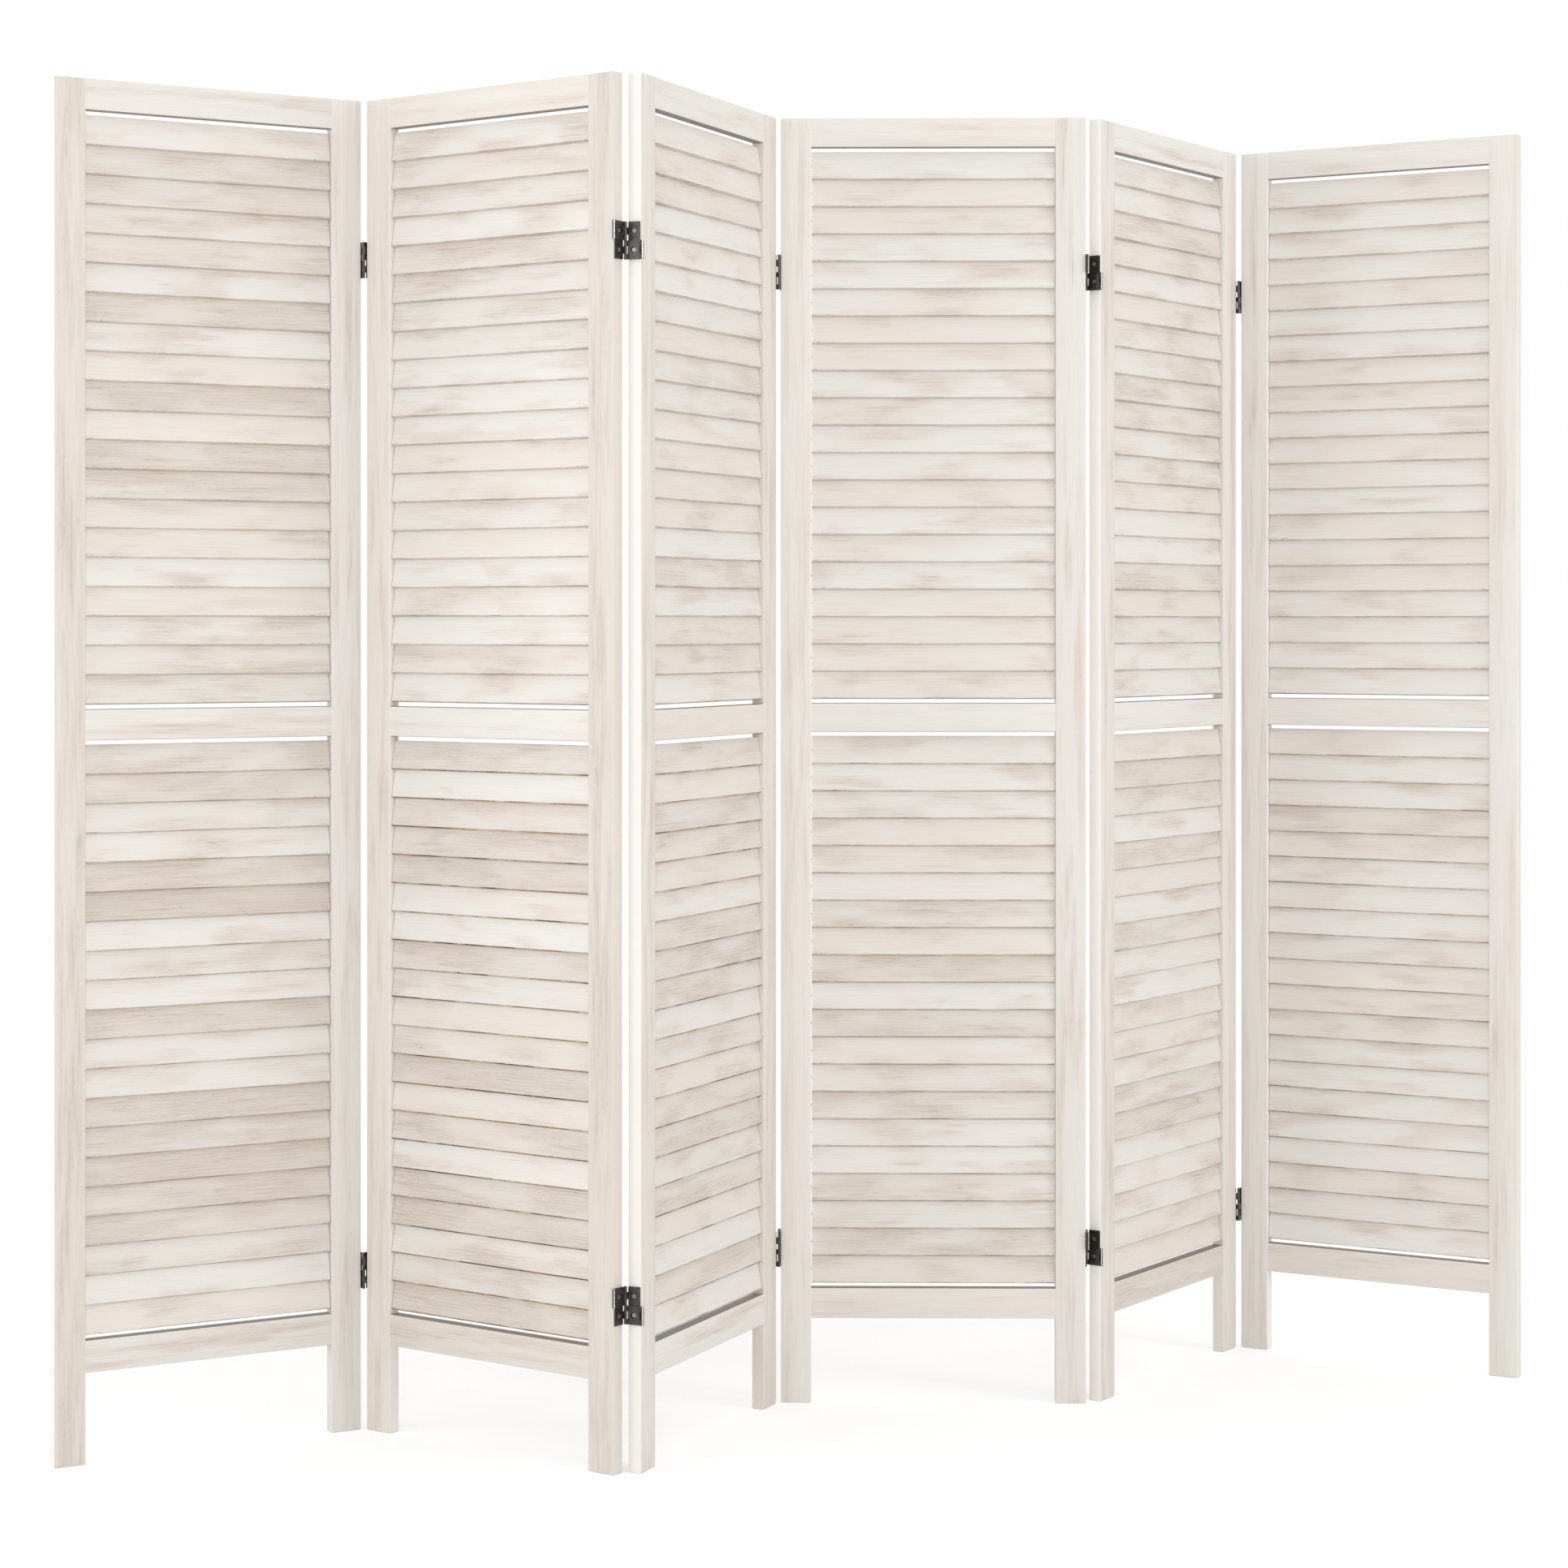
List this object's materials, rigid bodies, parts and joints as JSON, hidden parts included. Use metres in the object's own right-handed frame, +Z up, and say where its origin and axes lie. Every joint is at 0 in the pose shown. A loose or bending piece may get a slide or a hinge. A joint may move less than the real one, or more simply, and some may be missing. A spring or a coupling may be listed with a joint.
{
  "type": "room divider",
  "caption": "Folding room divider: louvred wooden panels joined by double-acting hinges, with tall feet and horizontal slats that turn on pins.",
  "frame": {"origin": "on the floor, under the middle of the standing divider's box", "axes": "+Z up, +X along the zigzag to the viewer's right, -Y towards the viewer of the pictured side"},
  "size_m": [1.9084, 0.749, 1.7],
  "materials": {
    "frame_wood": "whitewashed, matt",
    "slat_wood": "whitewashed, matt, streaky",
    "hinge_metal": "dark bronze, satin, worn at the edges"
  },
  "bodies": {
    "panel_1": {"panel_1_frame": "frame_wood", "panel_1_lower_slats": "slat_wood", "panel_1_upper_slats": "slat_wood", "hinge_1_2_top_left_half": "hinge_metal", "hinge_1_2_bottom_left_half": "hinge_metal"},
    "panel_2": {"panel_2_frame": "frame_wood", "panel_2_lower_slats": "slat_wood", "panel_2_upper_slats": "slat_wood", "hinge_1_2_top_right_half": "hinge_metal", "hinge_1_2_bottom_right_half": "hinge_metal", "hinge_2_3_top_left_half": "hinge_metal", "hinge_2_3_bottom_left_half": "hinge_metal"},
    "panel_3": {"panel_3_frame": "frame_wood", "panel_3_lower_slats": "slat_wood", "panel_3_upper_slats": "slat_wood", "hinge_2_3_top_right_half": "hinge_metal", "hinge_2_3_bottom_right_half": "hinge_metal", "hinge_3_4_top_left_half": "hinge_metal", "hinge_3_4_bottom_left_half": "hinge_metal"},
    "panel_4": {"panel_4_frame": "frame_wood", "panel_4_lower_slats": "slat_wood", "hinge_3_4_top_right_half": "hinge_metal", "hinge_3_4_bottom_right_half": "hinge_metal", "hinge_4_5_top_left_half": "hinge_metal", "hinge_4_5_bottom_left_half": "hinge_metal"},
    "panel_5": {"panel_5_frame": "frame_wood", "panel_5_lower_slats": "slat_wood", "panel_5_upper_slats": "slat_wood", "hinge_4_5_top_right_half": "hinge_metal", "hinge_4_5_bottom_right_half": "hinge_metal", "hinge_5_6_top_left_half": "hinge_metal", "hinge_5_6_bottom_left_half": "hinge_metal"},
    "panel_6": {"panel_6_frame": "frame_wood", "panel_6_lower_slats": "slat_wood", "panel_6_upper_slats": "slat_wood", "hinge_5_6_top_right_half": "hinge_metal", "hinge_5_6_bottom_right_half": "hinge_metal"},
    "slat_01": {"panel_4_slat_01": "slat_wood"},
    "slat_02": {"panel_4_slat_02": "slat_wood"},
    "slat_03": {"panel_4_slat_03": "slat_wood"},
    "slat_04": {"panel_4_slat_04": "slat_wood"},
    "slat_05": {"panel_4_slat_05": "slat_wood"},
    "slat_06": {"panel_4_slat_06": "slat_wood"},
    "slat_07": {"panel_4_slat_07": "slat_wood"},
    "slat_08": {"panel_4_slat_08": "slat_wood"},
    "slat_09": {"panel_4_slat_09": "slat_wood"},
    "slat_10": {"panel_4_slat_10": "slat_wood"},
    "slat_11": {"panel_4_slat_11": "slat_wood"},
    "slat_12": {"panel_4_slat_12": "slat_wood"},
    "slat_13": {"panel_4_slat_13": "slat_wood"},
    "slat_14": {"panel_4_slat_14": "slat_wood"},
    "slat_15": {"panel_4_slat_15": "slat_wood"},
    "slat_16": {"panel_4_slat_16": "slat_wood"},
    "slat_17": {"panel_4_slat_17": "slat_wood"},
    "slat_18": {"panel_4_slat_18": "slat_wood"},
    "slat_19": {"panel_4_slat_19": "slat_wood"},
    "slat_20": {"panel_4_slat_20": "slat_wood"}
  },
  "joints": [
    {"name": "fold_3_4", "type": "hinge", "parent": "panel_4", "child": "panel_3", "pos_m": [-0.062, 0.00988, 0.85], "axis": [0, 0, 1], "range_deg": [-66.9, 111.1]},
    {"name": "fold_2_3", "type": "hinge", "parent": "panel_3", "child": "panel_2", "pos_m": [-0.24796, -0.35397, 0.85], "axis": [0, 0, -1], "range_deg": [-101.6, 76.4]},
    {"name": "fold_1_2", "type": "hinge", "parent": "panel_2", "child": "panel_1", "pos_m": [-0.59324, -0.13545, 0.85], "axis": [0, 0, 1], "range_deg": [-65.4, 112.6]},
    {"name": "fold_4_5", "type": "hinge", "parent": "panel_4", "child": "panel_5", "pos_m": [0.34628, 0.02679, 0.85], "axis": [0, 0, 1], "range_deg": [-56.9, 121.1]},
    {"name": "fold_5_6", "type": "hinge", "parent": "panel_5", "child": "panel_6", "pos_m": [0.5926, 0.35283, 0.85], "axis": [0, 0, -1], "range_deg": [-85.8, 92.2]},
    {"name": "slat_01_turn", "type": "hinge", "parent": "panel_4", "child": "slat_01", "pos_m": [0.14214, 0.01834, 1.6378], "axis": [-0.9999, 0.014, 0], "range_deg": [0, 140]},
    {"name": "slat_02_turn", "type": "hinge", "parent": "panel_4", "child": "slat_02", "pos_m": [0.14214, 0.01834, 1.60162], "axis": [-0.9999, 0.014, 0], "range_deg": [0, 140]},
    {"name": "slat_03_turn", "type": "hinge", "parent": "panel_4", "child": "slat_03", "pos_m": [0.14214, 0.01834, 1.56543], "axis": [-0.9999, 0.014, 0], "range_deg": [0, 140]},
    {"name": "slat_04_turn", "type": "hinge", "parent": "panel_4", "child": "slat_04", "pos_m": [0.14214, 0.01834, 1.52923], "axis": [-0.9999, 0.014, 0], "range_deg": [0, 140]},
    {"name": "slat_05_turn", "type": "hinge", "parent": "panel_4", "child": "slat_05", "pos_m": [0.14214, 0.01834, 1.49304], "axis": [-0.9999, 0.014, 0], "range_deg": [0, 140]},
    {"name": "slat_06_turn", "type": "hinge", "parent": "panel_4", "child": "slat_06", "pos_m": [0.14214, 0.01834, 1.45686], "axis": [-0.9999, 0.014, 0], "range_deg": [0, 140]},
    {"name": "slat_07_turn", "type": "hinge", "parent": "panel_4", "child": "slat_07", "pos_m": [0.14214, 0.01834, 1.42067], "axis": [-0.9999, 0.014, 0], "range_deg": [0, 140]},
    {"name": "slat_08_turn", "type": "hinge", "parent": "panel_4", "child": "slat_08", "pos_m": [0.14214, 0.01834, 1.38447], "axis": [-0.9999, 0.014, 0], "range_deg": [0, 140]},
    {"name": "slat_09_turn", "type": "hinge", "parent": "panel_4", "child": "slat_09", "pos_m": [0.14214, 0.01834, 1.34828], "axis": [-0.9999, 0.014, 0], "range_deg": [0, 140]},
    {"name": "slat_10_turn", "type": "hinge", "parent": "panel_4", "child": "slat_10", "pos_m": [0.14214, 0.01834, 1.3121], "axis": [-0.9999, 0.014, 0], "range_deg": [0, 140]},
    {"name": "slat_11_turn", "type": "hinge", "parent": "panel_4", "child": "slat_11", "pos_m": [0.14214, 0.01834, 1.27591], "axis": [-0.9999, 0.014, 0], "range_deg": [0, 140]},
    {"name": "slat_12_turn", "type": "hinge", "parent": "panel_4", "child": "slat_12", "pos_m": [0.14214, 0.01834, 1.23971], "axis": [-0.9999, 0.014, 0], "range_deg": [0, 140]},
    {"name": "slat_13_turn", "type": "hinge", "parent": "panel_4", "child": "slat_13", "pos_m": [0.14214, 0.01834, 1.20352], "axis": [-0.9999, 0.014, 0], "range_deg": [0, 140]},
    {"name": "slat_14_turn", "type": "hinge", "parent": "panel_4", "child": "slat_14", "pos_m": [0.14214, 0.01834, 1.16734], "axis": [-0.9999, 0.014, 0], "range_deg": [0, 140]},
    {"name": "slat_15_turn", "type": "hinge", "parent": "panel_4", "child": "slat_15", "pos_m": [0.14214, 0.01834, 1.13115], "axis": [-0.9999, 0.014, 0], "range_deg": [0, 140]},
    {"name": "slat_16_turn", "type": "hinge", "parent": "panel_4", "child": "slat_16", "pos_m": [0.14214, 0.01834, 1.09495], "axis": [-0.9999, 0.014, 0], "range_deg": [0, 140]},
    {"name": "slat_17_turn", "type": "hinge", "parent": "panel_4", "child": "slat_17", "pos_m": [0.14214, 0.01834, 1.05876], "axis": [-0.9999, 0.014, 0], "range_deg": [0, 140]},
    {"name": "slat_18_turn", "type": "hinge", "parent": "panel_4", "child": "slat_18", "pos_m": [0.14214, 0.01834, 1.02258], "axis": [-0.9999, 0.014, 0], "range_deg": [0, 140]},
    {"name": "slat_19_turn", "type": "hinge", "parent": "panel_4", "child": "slat_19", "pos_m": [0.14214, 0.01834, 0.98638], "axis": [-0.9999, 0.014, 0], "range_deg": [0, 140]},
    {"name": "slat_20_turn", "type": "hinge", "parent": "panel_4", "child": "slat_20", "pos_m": [0.14214, 0.01834, 0.9502], "axis": [-0.9999, 0.014, 0], "range_deg": [0, 140]}
  ]
}
